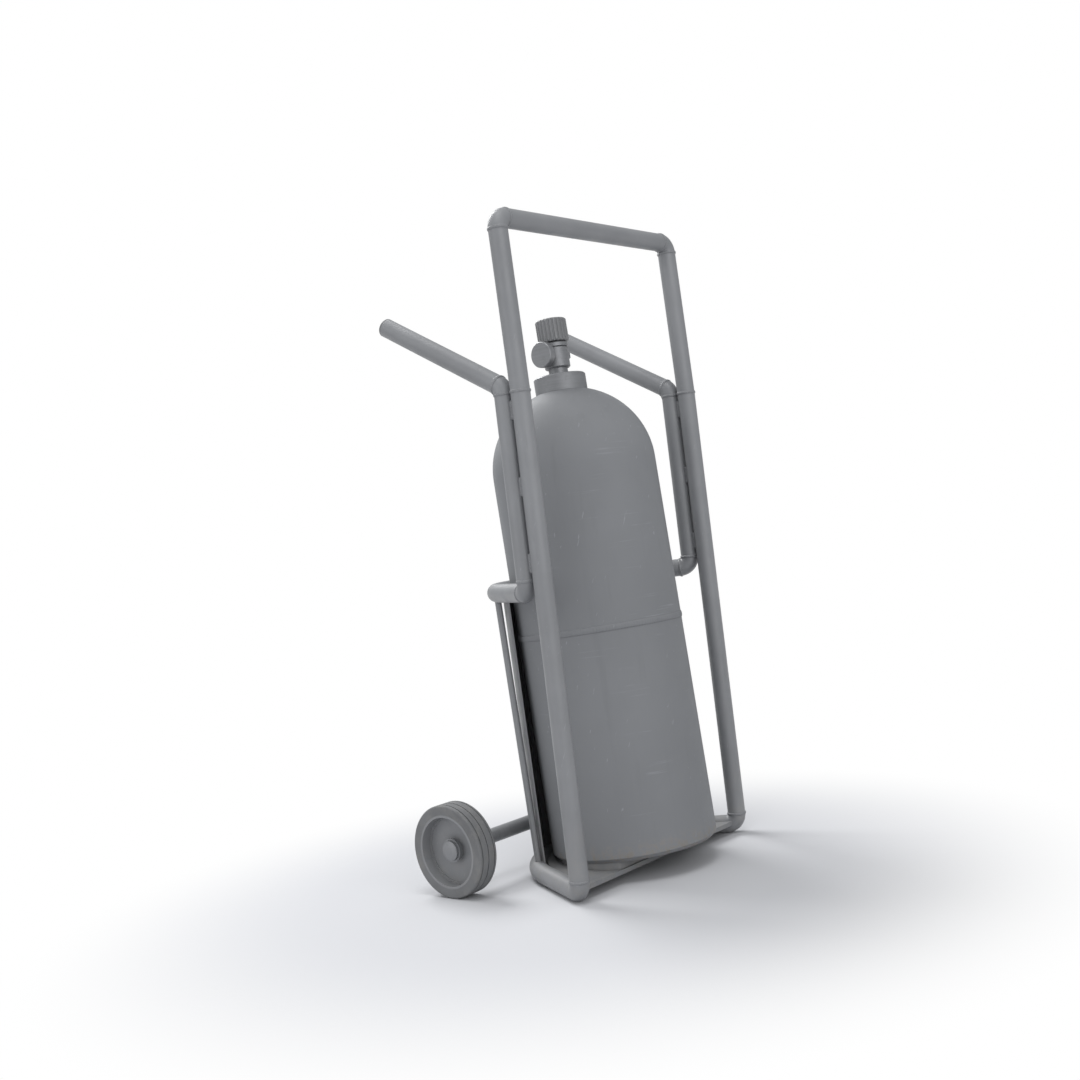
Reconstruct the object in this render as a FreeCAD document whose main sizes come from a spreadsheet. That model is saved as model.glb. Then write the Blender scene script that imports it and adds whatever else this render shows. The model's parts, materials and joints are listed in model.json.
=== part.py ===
import FreeCAD, Part

import math
import os

import Sketcher
from FreeCAD import Placement, Rotation, Vector

# A cylinder cart: a tubular frame on two wheels with one gas cylinder standing in it.
# Millimetres. +X to the right seen from the open front, +Y to the back, +Z up.
# The origin is on the floor, midway between the two uprights.

doc = FreeCAD.newDocument("CylinderCart")

# Driving dimensions: alias, value, what it is. Angles are in degrees.
SIZES = (
    ("TubeDia", 25.4, "frame tube, outside"),
    ("TubeWall", 2.0, "frame tube, wall"),
    ("ElbowBend", 15.0, "centreline radius of the weld-on elbows"),
    ("FrameRoom", 137.2, "room beside the cylinder, between the uprights' axes"),
    ("BendHeight", 646.0, "where the uprights lean back and the handles leave"),
    ("LeanBack", 1.3, "lean of the uprights' upper part"),
    ("TopBarRise", 221.4, "top bar above the bend, along the lean"),
    ("BaseYaw", 27.0, "inward turn of the base hoop's legs"),
    ("BaseGap", 6.0, "base hoop to the cylinder's foot, at the back"),
    ("PlateThick", 6.0, "base plate"),
    ("SeatRadius", 106.0, "seat wedge under the cylinder"),
    ("SeatThin", 2.5, "seat wedge at its back edge"),
    ("SeatSetback", 3.0, "seat wedge behind the plate's front edge"),
    ("HandleOffset", 28.0, "handle tube behind the upright, centre to centre"),
    ("StitchWidth", 8.0, "weld stitch between upright and handle tube"),
    ("StitchLength", 25.0, "weld stitch, along the tubes"),
    ("StitchInset", 22.0, "first and last stitch from the handle run's ends"),
    ("UpperHeight", 393.0, "axis of the upper hoop"),
    ("UpperYaw", 29.0, "inward turn of the upper hoop's legs"),
    ("UpperGap", 2.2, "upper hoop to the leaning cylinder"),
    ("ArmRise", 30.2, "handle arms above the horizontal"),
    ("ArmLength", 220.0, "handle arm's straight tube"),
    ("EndPlugHead", 2.5, "end plug outside the tube"),
    ("EndPlugDepth", 15.0, "end plug inside the tube"),
    ("StrutDia", 9.0, "strut rods"),
    ("StrutGap", 0.2, "struts clear of the back panel, at the foot"),
    ("PanelStand", 14.8, "back panel's outer face outside the cylinder's"),
    ("PanelSheet", 2.0, "back panel, sheet"),
    ("PanelFootBack", 3.8, "panel behind the base hoop's axis, at the back"),
    ("PanelHeadFront", 2.7, "panel before the upper hoop's axis, at the back"),
    ("PanelShort", 1.3, "panel's edges inside the cylinder's sides"),
    ("PanelAxleGap", 1.0, "panel's flat back to the axle"),
    ("AxleDia", 20.0, "axle"),
    ("AxleBack", 8.5, "axle behind the base hoop's back"),
    ("BracketSpread", 70.0, "axle brackets, centre to centre"),
    ("BracketThick", 6.0, "axle bracket plate"),
    ("BracketWidth", 20.0, "axle bracket's web"),
    ("BracketEye", 28.0, "axle bracket's round end"),
    ("WheelDia", 124.0, "wheel over the tread"),
    ("TyreWidth", 32.0, "tyre"),
    ("WheelTrack", 446.0, "outer faces of the tyres"),
    ("TyreShoulder", 2.5, "rounded edge of the tread"),
    ("TreadGroove", 1.5, "groove width and depth"),
    ("TreadEdge", 5.0, "edge band of the tread"),
    ("RimDia", 98.0, "rim, outside"),
    ("RimWall", 3.0, "rim ring"),
    ("RimStep", 3.0, "step between the rim ring and the disc"),
    ("DiscThick", 3.0, "wheel disc"),
    ("DiscSetback", 16.0, "disc behind the tyre's outer face"),
    ("DiscDish", 2.0, "disc deeper at the hub than at the rim"),
    ("HubDia", 29.0, "wheel hub, outside"),
    ("HubLength", 24.0, "wheel hub"),
    ("HubStand", 3.0, "hub inboard of the tyre"),
    ("BushWall", 2.0, "wheel bush"),
    ("RunningClearance", 0.05, "radial clearance of what turns on a shaft"),
    ("SideClearance", 0.3, "wheel to its washers"),
    ("WasherDia", 32.0, "axle washers"),
    ("WasherThick", 1.5, "axle washers"),
    ("CollarDia", 30.0, "axle collars"),
    ("CollarWidth", 8.0, "axle collars"),
    ("HubCapDia", 27.0, "push-on hub caps"),
    ("HubCapSkirt", 3.6, "hub cap, over the axle's end"),
    ("HubCapDome", 2.0, "hub cap's crown"),
    ("BeadSize", 1.2, "weld bead, standing proud"),
    ("BottleDia", 227.8, "gas cylinder"),
    ("BottleWall", 3.5, "cylinder's shell"),
    ("BottleLean", 3.04, "cylinder leans back"),
    ("BottleBack", 49.6, "foot's centre behind the uprights"),
    ("FootEdge", 5.0, "chamfer round the foot"),
    ("FootInner", 92.0, "inner radius of the flat foot"),
    ("FootDish", 20.0, "hollow under the cylinder"),
    ("GirthHeight", 303.0, "girth weld above the foot"),
    ("GirthWidth", 9.0, "girth weld bead, wide"),
    ("GirthProud", 1.2, "girth weld bead, proud"),
    ("ShoulderHeight", 524.5, "where the straight wall ends"),
    ("FillGap", 0.5, "porous filler to the shell"),
    ("NeckDia", 48.0, "neck boss"),
    ("NeckDepth", 8.0, "neck boss below the shoulder's opening"),
    ("NeckProud", 18.66, "neck boss above the shoulder"),
    ("CollarRingDia", 73.0, "neck ring"),
    ("CollarRingProud", 1.6, "neck ring above the neck boss"),
    ("CollarRingEdge", 1.5, "chamfer of the neck ring"),
    ("StemDia", 27.0, "valve stem between neck and body"),
    ("StemHeight", 12.5, "valve stem between neck and body"),
    ("TailDia", 25.0, "valve's threaded tail in the neck"),
    ("TailDepth", 26.0, "tail below the neck's top"),
    ("ValveDia", 36.0, "valve body"),
    ("ValveHeight", 29.5, "valve body"),
    ("ValveEdge", 1.5, "chamfers of the valve body and gland nut"),
    ("InletDia", 6.0, "gas way up through the tail"),
    ("SeatDrop", 2.0, "valve seat below the valve body's underside"),
    ("ChamberDia", 18.0, "chamber above the seat"),
    ("OutletRise", 19.0, "axis of the side outlet above the valve body's underside"),
    ("OutletDia", 16.0, "outlet nipple"),
    ("OutletBore", 7.0, "outlet gas way"),
    ("ReliefDia", 12.0, "fusible plug's shank"),
    ("ReliefHex", 15.0, "fusible plug's head, across corners"),
    ("ReliefHead", 6.0, "fusible plug's head"),
    ("ReliefDepth", 6.0, "fusible plug inside the body"),
    ("GlandDia", 38.0, "gland nut"),
    ("GlandHeight", 6.5, "gland nut above the valve body"),
    ("GlandHub", 3.5, "gland nut inside the valve body"),
    ("PackingDia", 15.0, "packing ring"),
    ("PackingHeight", 3.0, "packing ring"),
    ("SpindleDia", 10.0, "valve spindle"),
    ("FlangeDia", 16.0, "spindle flange under the gland nut"),
    ("FlangeThick", 3.0, "spindle flange"),
    ("TangWidth", 5.0, "square drive between spindle and plug"),
    ("PlugHeight", 7.7, "valve plug"),
    ("PlugTravel", 3.0, "valve plug's lift when open"),
    ("PlugNose", 10.0, "valve plug's seat face, across"),
    ("PlugNoseHeight", 2.0, "valve plug's nose"),
    ("MeshClearance", 0.1, "radial clearance of screwed pieces"),
    ("SmallGap", 0.3, "end gaps inside the valve"),
    ("KnobDia", 43.5, "handwheel"),
    ("KnobGap", 1.0, "handwheel clear of the gland nut"),
    ("KnobHeight", 32.0, "handwheel"),
    ("KnobEdge", 1.5, "handwheel's rounded rims"),
    ("KnobRibs", 24, "grooves round the handwheel"),
    ("KnobGroove", 1.4, "groove radius"),
    ("KnobRecess", 22.0, "recess in the handwheel's top"),
    ("KnobRecessDepth", 7.0, "recess in the handwheel's top"),
    ("StudDia", 6.0, "spindle's threaded end"),
    ("NutCorners", 11.5, "handwheel nut, across corners"),
    ("NutHeight", 5.0, "handwheel nut"),
    ("CapDia", 36.0, "outlet cap"),
    ("CapLength", 10.5, "outlet cap, along the outlet"),
    ("CapOverlap", 3.0, "nipple inside the cap"),
    ("CapEdge", 1.0, "chamfer of the outlet cap"),
    ("GasketThick", 1.2, "sealing disc in the outlet cap"),
)

# Worked-out values, each from the sizes above and the lines before it.
WORKED = (
    ("TubeRadius", "Size.TubeDia / 2"),
    ("TubeBore", "Size.TubeDia / 2 - Size.TubeWall"),
    ("HalfWidth", "(Size.BottleDia + Size.FrameRoom) / 2"),
    ("HoopAxis", "Size.TubeDia / 2"),
    ("BaseTop", "Worked.HoopAxis + Size.ElbowBend"),
    ("TopBarHalf", "Worked.HalfWidth - Size.ElbowBend"),
    ("BottleRadius", "Size.BottleDia / 2"),
    ("SeatTop", "Worked.HoopAxis + Size.PlateThick"),
    ("LeanSlope", "tan(Size.BottleLean)"),
    ("FootHeight", "Worked.SeatTop + Size.SeatThin + Size.SeatRadius * Worked.LeanSlope"),
    ("FootBack", "Size.BottleBack + Worked.BottleRadius * cos(Size.BottleLean)"),
    ("BaseReach", "Worked.FootBack + Size.BaseGap + Worked.TubeRadius"),
    ("BaseArc", "(Worked.HalfWidth * cos(Size.BaseYaw) - Worked.BaseReach * sin(Size.BaseYaw))"
                " / (1 - sin(Size.BaseYaw))"),
    ("BaseCentre", "Worked.BaseReach - Worked.BaseArc"),
    ("UpperRest", "Size.BottleBack + (Size.UpperHeight - Worked.FootHeight) * Worked.LeanSlope"
                  " + Worked.BottleRadius / cos(Size.BottleLean)"),
    ("UpperReach", "Worked.UpperRest + Size.UpperGap + Worked.TubeRadius"),
    ("UpperArc", "(Worked.HalfWidth * cos(Size.UpperYaw)"
                 " - (Worked.UpperReach - Size.HandleOffset) * sin(Size.UpperYaw))"
                 " / (1 - sin(Size.UpperYaw))"),
    ("UpperCentre", "Worked.UpperReach - Worked.UpperArc"),
    ("RunBottom", "Size.UpperHeight + Size.ElbowBend"),
    ("ArmTurn", "90 - Size.ArmRise"),
    ("ArmStartY", "Size.HandleOffset + Size.ElbowBend * (1 - cos(Worked.ArmTurn))"),
    ("ArmStartZ", "Size.BendHeight + Size.ElbowBend * sin(Worked.ArmTurn)"),
    ("PanelRadius", "Worked.BottleRadius + Size.PanelStand"),
    ("PanelInner", "Worked.PanelRadius - Size.PanelSheet"),
    ("PanelHalfAngle", "asin((Worked.BottleRadius - Size.PanelShort) / Worked.PanelRadius) / 1 deg"),
    ("PanelFoot", "Worked.BaseReach + Size.PanelFootBack - Worked.PanelRadius"),
    ("PanelHead", "Worked.UpperReach - Size.PanelHeadFront - Worked.PanelRadius"),
    ("StrutCircle", "Worked.PanelRadius + Size.StrutGap + Size.StrutDia / 2"),
    ("StrutShift", "Worked.PanelFoot - Worked.BaseCentre"),
    ("StrutBack", "(Worked.BaseArc ^ 2 - Worked.StrutCircle ^ 2 + Worked.StrutShift ^ 2)"
                  " / (2 * Worked.StrutShift)"),
    ("StrutX", "sqrt(Worked.BaseArc ^ 2 - Worked.StrutBack ^ 2)"),
    ("StrutFoot", "Worked.BaseCentre + Worked.StrutBack"),
    ("StrutHead", "Worked.UpperCentre + sqrt(Worked.UpperArc ^ 2 - Worked.StrutX ^ 2)"),
    ("StrutRise", "Size.UpperHeight - Worked.HoopAxis"),
    ("StrutRun", "Worked.StrutHead - Worked.StrutFoot"),
    ("StrutLean", "atan(Worked.StrutRun / Worked.StrutRise) / 1 deg"),
    ("PanelLean", "atan((Worked.PanelHead - Worked.PanelFoot) / Worked.StrutRise) / 1 deg"),
    ("PanelLength", "Worked.StrutRise + Size.TubeDia"),
    ("WheelRadius", "Size.WheelDia / 2"),
    ("AxleY", "Worked.BaseReach + Size.AxleBack"),
    ("BracketX", "Size.BracketSpread / 2"),
    ("BracketFoot", "Worked.BaseCentre + sqrt(Worked.BaseArc ^ 2 - Worked.BracketX ^ 2)"),
    ("BracketRun", "Worked.AxleY - Worked.BracketFoot"),
    ("BracketRise", "Worked.WheelRadius - Worked.HoopAxis"),
    ("PanelFlat", "Worked.AxleY - Size.AxleDia / 2 - Size.PanelAxleGap - Worked.PanelFoot"
                  " - Worked.BracketRise * tan(Worked.PanelLean)"),
    ("BracketReach", "sqrt(Worked.BracketRun ^ 2 + Worked.BracketRise ^ 2)"),
    ("BracketLean", "atan(Worked.BracketRun / Worked.BracketRise) / 1 deg"),
    ("HubInner", "Size.WheelTrack / 2 - Size.TyreWidth - Size.HubStand"),
    ("HubOuter", "Worked.HubInner + Size.HubLength"),
    ("CapFace", "Worked.HubOuter + Size.SideClearance + Size.WasherThick"),
    ("AxleHalf", "Worked.CapFace + Size.HubCapSkirt"),
    ("DiscFace", "Size.HubStand + Size.TyreWidth - Size.DiscSetback"),
    ("BottleInner", "Worked.BottleRadius - Size.BottleWall"),
    ("NeckRadius", "Size.NeckDia / 2"),
    ("NeckOpening", "Size.ShoulderHeight + sqrt(Worked.BottleInner ^ 2 - Worked.NeckRadius ^ 2)"),
    ("NeckOutside", "Size.ShoulderHeight + sqrt(Worked.BottleRadius ^ 2 - Worked.NeckRadius ^ 2)"),
    ("NeckTop", "Worked.NeckOutside + Size.NeckProud"),
    ("CollarRadius", "Size.CollarRingDia / 2"),
    ("CollarSeat", "Size.ShoulderHeight + sqrt(Worked.BottleRadius ^ 2 - Worked.CollarRadius ^ 2)"),
    ("CollarRingTop", "Worked.NeckTop + Size.CollarRingProud"),
    ("DishRadius", "(Size.FootInner ^ 2 + Size.FootDish ^ 2) / (2 * Size.FootDish)"),
    ("FootCorner", "Size.BottleWall * tan(22.5)"),
    ("FillerRadius", "Worked.BottleInner - Size.FillGap"),
    ("FillerTop", "Worked.NeckOpening - Size.NeckDepth - Size.FillGap"),
    ("FillerFlat", "sqrt(Worked.FillerRadius ^ 2 - (Worked.FillerTop - Size.ShoulderHeight) ^ 2)"),
    ("ValveBottom", "Worked.NeckTop + Size.StemHeight"),
    ("ValveTop", "Worked.ValveBottom + Size.ValveHeight"),
    ("SeatHeight", "Worked.ValveBottom - Size.SeatDrop"),
    ("OutletHeight", "Worked.ValveBottom + Size.OutletRise"),
    ("PlugBottom", "Worked.SeatHeight + Size.SmallGap"),
    ("SlotFloor", "Worked.PlugBottom + Size.PlugNoseHeight"),
    ("TangBottom", "Worked.SlotFloor + Size.PlugTravel + Size.SmallGap"),
    ("ChamberRadius", "Size.ChamberDia / 2"),
    ("SpindleRadius", "Size.SpindleDia / 2"),
    ("GlandBottom", "Worked.ValveTop - Size.GlandHub"),
    ("FlangeBottom", "Worked.GlandBottom - Size.FlangeThick - Size.SmallGap"),
    ("GlandTop", "Worked.ValveTop + Size.GlandHeight"),
    ("KnobRadius", "Size.KnobDia / 2"),
    ("KnobBottom", "Worked.GlandTop + Size.KnobGap"),
    ("RecessFloor", "Worked.KnobBottom + Size.KnobHeight - Size.KnobRecessDepth"),
    ("StudTop", "Worked.RecessFloor + Size.NutHeight + 2 * Size.SmallGap"),
    ("CapInner", "Worked.KnobRadius + 2 * Size.SmallGap"),
    ("OutletReach", "Worked.CapInner + Size.CapOverlap"),
    ("CapFloor", "Worked.OutletReach + Size.GasketThick + 2 * Size.MeshClearance"),
)


def make_sizes():
    sheet = doc.addObject("Spreadsheet::Sheet", "Size")
    for row, (alias, value, note) in enumerate(SIZES, start=1):
        sheet.set("A%d" % row, alias)
        sheet.set("B%d" % row, str(value))
        sheet.set("C%d" % row, note)
        sheet.setAlias("B%d" % row, alias)
    doc.recompute()
    return sheet


def make_worked():
    values = doc.addObject("App::VarSet", "Worked")
    for name, formula in WORKED:
        values.addProperty("App::PropertyFloat", name)
        values.setExpression(name, formula)
    doc.recompute()
    return values


size = make_sizes()
worked = make_worked()

nodes = []

UP = Vector(0, 0, 1)
DOWN = Vector(0, 0, -1)
BACK = Vector(0, 1, 0)
RIGHT = Vector(1, 0, 0)
LEFT = Vector(-1, 0, 0)
ABOUT_X = (1, 0, 0)
ABOUT_Y = (0, 1, 0)
ABOUT_Z = (0, 0, 1)
ALONG_X = Rotation(Vector(0, 1, 0), 90)
ALONG_LEFT = Rotation(Vector(0, 1, 0), -90)
SIDES = (("left", -1), ("right", 1))


def number(formula):
    return float(size.evalExpression(formula))


def bind(item, **formulas):
    for name, formula in formulas.items():
        item.setExpression(name, formula)


def place(item, x="0", y="0", z="0", about=None, angle="0"):
    """Put an object at (x, y, z), turned about one axis, all bound to the sizes."""
    turn = Rotation(Vector(*about), number(angle)) if about else Rotation()
    item.Placement = Placement(Vector(number(x), number(y), number(z)), turn)
    for letter, formula in (("x", x), ("y", y), ("z", z)):
        if formula != "0":
            item.setExpression("Placement.Base." + letter, formula)
    if about:
        item.setExpression("Placement.Rotation.Angle", angle)
    return item


def keep(item):
    nodes.append(item)
    return item


def signed(side, formula):
    return "%d * (%s)" % (side, formula)


def rod(name, radius, length, turn=None, **at):
    """A round bar along its own +Z; turn fixes another direction for good."""
    item = doc.addObject("Part::Cylinder", name)
    bind(item, Radius=radius, Height=length)
    place(item, **at)
    if turn:
        item.Placement = Placement(item.Placement.Base, turn)
    return item


def block(name, wide, deep, high, x="0", y="0", z="0"):
    """A box centred on x, from y backwards and from z upwards."""
    item = doc.addObject("Part::Box", name)
    bind(item, Length=wide, Width=deep, Height=high)
    return place(item, x="%s - (%s) / 2" % (x, wide), y=y, z=z)


def bend(name, radius, turn, heading, toward, x="0", y="0", z="0"):
    """Part of a torus that leaves its start along heading and turns toward."""
    item = doc.addObject("Part::Torus", name)
    bind(item, Radius1="Size.ElbowBend", Radius2=radius, Angle3=turn)
    centre = [x, y, z]
    for axis in range(3):
        if toward[axis]:
            centre[axis] = "%s + %d * Size.ElbowBend" % (centre[axis], toward[axis])
    place(item, *centre)
    start = toward * -1
    frame = Rotation(start, heading, start.cross(heading), "XYZ")
    item.Placement = Placement(item.Placement.Base, frame)
    return item


def cut(name, base, tool):
    item = doc.addObject("Part::Cut", name)
    item.Base = base
    item.Tool = tool
    return item


def fuse(name, items):
    item = doc.addObject("Part::MultiFuse", name)
    item.Shapes = items
    return item


def group(name, items):
    """Separate solids that share one node."""
    item = doc.addObject("Part::Compound", name)
    item.Links = items
    return item


def pipe(name, length, turn=None, x="0", y="0", z="0"):
    """A straight frame tube in its own frame: outside, less its bore."""
    at = dict(turn=turn, x=x, y=y, z=z)
    outside = rod(name + "_outside", "Worked.TubeRadius", length, **at)
    bore = rod(name + "_bore", "Worked.TubeBore", length, **at)
    return cut(name, outside, bore)


def elbow(name, turn, heading, toward, x="0", y="0", z="0"):
    """A weld-on elbow in its own frame: outside, less its bore."""
    outside = bend(name + "_outside", "Worked.TubeRadius", turn, heading, toward, x, y, z)
    bore = bend(name + "_bore", "Worked.TubeBore", turn, heading, toward, x, y, z)
    return cut(name, outside, bore)


def bead(name, above, turn=None, back="0", down="-2 * Size.BeadSize"):
    """A weld bead standing proud round a tube, ending where the tube meets its elbow.

    It lies on the tube's side of its own frame: the upper half of a ring, or the lower.
    """
    ring = doc.addObject("Part::Torus", name + "_ring")
    bind(ring, Radius1="Worked.TubeRadius", Radius2="Size.BeadSize")
    ring.Angle1 = -180 if above else 0
    ring.Angle2 = 0 if above else 180
    inside = rod(name + "_inside", "Worked.TubeRadius", "4 * Size.BeadSize", y=back, z=down)
    if turn:
        ring.Placement = Placement(Vector(), turn)
        inside.Placement = Placement(inside.Placement.Base, turn)
    return cut(name, ring, inside)


def arm_bead(word):
    """The bead at a handle arm's start, on the elbow's side, so that a sleeve fits the whole arm."""
    name = "bead_arm_" + word
    ring = doc.addObject("Part::Torus", name + "_ring")
    bind(ring, Radius1="Worked.TubeRadius", Radius2="Size.BeadSize")
    ring.Angle1 = 0
    ring.Angle2 = 180
    place(ring, y="Worked.ArmStartY - Size.HandleOffset", z="Worked.ArmStartZ - Size.BendHeight",
          about=ABOUT_X, angle="-Worked.ArmTurn")
    return cut(name, ring, bend(name + "_inside", "Worked.TubeRadius", "Worked.ArmTurn", UP, BACK))


def plane(body, role):
    return next(item for item in body.Origin.OriginFeatures if item.Role == role)


def sketch_on(body, name, role):
    item = body.newObject("Sketcher::SketchObject", name)
    item.AttachmentSupport = [(plane(body, role), "")]
    item.MapMode = "FlatFace"
    return item


def hold(item, kind, geometry, point, formula):
    """Fix one coordinate of a sketch point: kind is DistanceX or DistanceY."""
    if formula == "0":
        axis = -2 if kind == "DistanceX" else -1
        item.addConstraint(Sketcher.Constraint("PointOnObject", geometry, point, axis))
        return
    value = number(formula)
    index = item.addConstraint(Sketcher.Constraint(kind, -1, 1, geometry, point, value))
    item.setExpression("Constraints[%d]" % index, formula)


def arc_between(start, end, radius, side):
    """The short arc from start to end; its centre is on the left for side 1."""
    chord = end - start
    half = chord.Length / 2
    normal = Vector(-chord.y, chord.x, 0).normalize() * side
    centre = (start + end) * 0.5 + normal * math.sqrt(radius ** 2 - half ** 2)
    first, last = (start, end) if side > 0 else (end, start)
    angles = [math.atan2(p.y - centre.y, p.x - centre.x) for p in (first, last)]
    circle = Part.Circle(centre, UP, radius)
    return Part.ArcOfCircle(circle, angles[0], angles[1])


def outline(item, points):
    """A closed outline. A point is (x, y), or (x, y, radius, side) to start an arc."""
    places = [Vector(number(p[0]), number(p[1]), 0) for p in points]
    ends = []
    for index, point in enumerate(points):
        start = places[index]
        end = places[(index + 1) % len(points)]
        if len(point) == 2:
            geometry = item.addGeometry(Part.LineSegment(start, end))
            ends.append((geometry, 1, 2))
        else:
            radius, side = point[2], point[3]
            arc = arc_between(start, end, number(radius), side)
            geometry = item.addGeometry(arc)
            ends.append((geometry, 1, 2) if side > 0 else (geometry, 2, 1))
            row = item.addConstraint(Sketcher.Constraint("Radius", geometry, number(radius)))
            item.setExpression("Constraints[%d]" % row, radius)
    for index, point in enumerate(points):
        geometry, first, _ = ends[index]
        before, _, last = ends[index - 1]
        item.addConstraint(Sketcher.Constraint("Coincident", before, last, geometry, first))
        hold(item, "DistanceX", geometry, first, point[0])
        hold(item, "DistanceY", geometry, first, point[1])


def turned(name, points):
    """A turned piece about its own +Z, from an outline of (radius, height) points."""
    body = doc.addObject("PartDesign::Body", name)
    profile = sketch_on(body, name + "_profile", "XZ_Plane")
    outline(profile, points)
    spin = body.newObject("PartDesign::Revolution", name + "_turned")
    spin.Profile = profile
    spin.ReferenceAxis = (profile, ["V_Axis"])
    spin.Angle = 360
    profile.Visibility = False
    return body


def make_uprights():
    """One tube a side, with a slight lean from the bend upwards."""
    straight = "Size.BendHeight - Worked.BaseTop"
    leaning = "(Size.TopBarRise - Size.ElbowBend)"
    for word, side in SIDES:
        body = doc.addObject("PartDesign::Body", "upright_" + word)
        path = sketch_on(body, "upright_path_" + word, "YZ_Plane")
        tip = (leaning + " * sin(Size.LeanBack)", straight + " + " + leaning + " * cos(Size.LeanBack)")
        stops = (("0", "0"), ("0", straight), tip)
        spots = [Vector(number(y), number(z), 0) for y, z in stops]
        lower = path.addGeometry(Part.LineSegment(spots[0], spots[1]))
        upper = path.addGeometry(Part.LineSegment(spots[1], spots[2]))
        path.addConstraint(Sketcher.Constraint("Coincident", lower, 1, -1, 1))
        path.addConstraint(Sketcher.Constraint("Coincident", lower, 2, upper, 1))
        hold(path, "DistanceX", lower, 2, stops[1][0])
        hold(path, "DistanceY", lower, 2, stops[1][1])
        hold(path, "DistanceX", upper, 2, stops[2][0])
        hold(path, "DistanceY", upper, 2, stops[2][1])
        section = sketch_on(body, "upright_section_" + word, "XY_Plane")
        ring_section(section, "0")
        sweep(body, "upright_tube_" + word, section, path, 2)
        keep(place(body, x=signed(side, "Worked.HalfWidth"), z="Worked.BaseTop"))


def ring_section(item, across):
    """The tube's two circles, centred on the sketch's horizontal axis."""
    for radius in ("Worked.TubeRadius", "Worked.TubeBore"):
        circle = Part.Circle(Vector(number(across), 0, 0), UP, number(radius))
        geometry = item.addGeometry(circle)
        hold(item, "DistanceX", geometry, 3, across)
        hold(item, "DistanceY", geometry, 3, "0")
        row = item.addConstraint(Sketcher.Constraint("Radius", geometry, number(radius)))
        item.setExpression("Constraints[%d]" % row, radius)


def sweep(body, name, section, path, edges):
    item = body.newObject("PartDesign::AdditivePipe", name)
    item.Profile = section
    item.Spine = (path, ["Edge%d" % (n + 1) for n in range(edges)])
    item.Transition = "Right corner"
    section.Visibility = False
    path.Visibility = False
    return item


def make_hoop(name, reach, arc, yaw, start, height):
    """A hoop bent round the back: two straight legs, then one arc between them."""
    body = doc.addObject("PartDesign::Body", name)
    path = sketch_on(body, name + "_path", "XY_Plane")
    radius = number(arc)
    lean = math.radians(number(yaw))
    centre = Vector(0, number(reach) - radius, 0)
    circle = Part.Circle(centre, UP, radius)
    curve = path.addGeometry(Part.ArcOfCircle(circle, lean, math.pi / 2))
    leg_start = centre + Vector(math.cos(lean), math.sin(lean), 0) * radius
    leg_x = "Worked.HalfWidth - Size.ElbowBend * sin(%s)" % yaw
    leg_y = "%s + Size.ElbowBend * cos(%s)" % (start, yaw)
    leg_end = Vector(number(leg_x), number(leg_y), 0)
    leg = path.addGeometry(Part.LineSegment(leg_start, leg_end))
    path.addConstraint(Sketcher.Constraint("PointOnObject", curve, 3, -2))
    path.addConstraint(Sketcher.Constraint("PointOnObject", curve, 2, -2))
    path.addConstraint(Sketcher.Constraint("Tangent", curve, 1, leg, 1))
    hold(path, "DistanceY", curve, 2, reach)
    hold(path, "DistanceX", leg, 2, leg_x)
    hold(path, "DistanceY", leg, 2, leg_y)
    row = path.addConstraint(Sketcher.Constraint("Radius", curve, radius))
    path.setExpression("Constraints[%d]" % row, arc)
    section = sketch_on(body, name + "_section", "YZ_Plane")
    ring_section(section, reach)
    half = sweep(body, name + "_half", section, path, 2)
    whole = body.newObject("PartDesign::Mirrored", name + "_whole")
    whole.Originals = [half]
    whole.MirrorPlane = (plane(body, "YZ_Plane"), [""])
    body.Tip = whole
    return keep(place(body, z=height))


def make_base():
    make_hoop("base_hoop", "Worked.BaseReach", "Worked.BaseArc", "Size.BaseYaw",
              "0", "Worked.HoopAxis")
    for word, side in SIDES:
        corner = elbow("base_elbow_" + word, "90", DOWN, BACK)
        keep(place(corner, x=signed(side, "Worked.HalfWidth"), z="Worked.BaseTop",
                   about=ABOUT_Z, angle=signed(side, "Size.BaseYaw")))
    body = doc.addObject("PartDesign::Body", "base_plate")
    shape = sketch_on(body, "base_plate_outline", "XY_Plane")
    inner = "(Worked.BaseArc - Worked.TubeRadius)"
    side_x = inner + " * cos(Size.BaseYaw)"
    side_y = "Worked.BaseCentre + " + inner + " * sin(Size.BaseYaw)"
    front_x = "%s + (%s) * tan(Size.BaseYaw)" % (side_x, side_y)
    outline(shape, (
        ("-(%s)" % front_x, "0"),
        (front_x, "0"),
        (side_x, side_y, "Worked.BaseArc - Worked.TubeRadius", 1),
        ("-(%s)" % side_x, side_y),
    ))
    pad = body.newObject("PartDesign::Pad", "base_plate_pad")
    pad.Profile = shape
    pad.setExpression("Length", "Size.PlateThick")
    shape.Visibility = False
    keep(place(body, z="Worked.HoopAxis"))


def make_top():
    """The crossbar and its elbows, built along the uprights' lean."""
    lean = dict(z="Size.BendHeight", about=ABOUT_X, angle="-Size.LeanBack")
    across = Rotation(Vector(0, 1, 0), 90)
    bar = pipe("top_bar", "2 * Worked.TopBarHalf", turn=across,
               x="-Worked.TopBarHalf", z="Size.TopBarRise")
    keep(place(bar, **lean))
    for word, side in SIDES:
        toward = LEFT if side > 0 else RIGHT
        corner = elbow("top_elbow_" + word, "90", UP, toward,
                       x=signed(side, "Worked.HalfWidth"), z="Size.TopBarRise - Size.ElbowBend")
        keep(place(corner, **lean))


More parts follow.
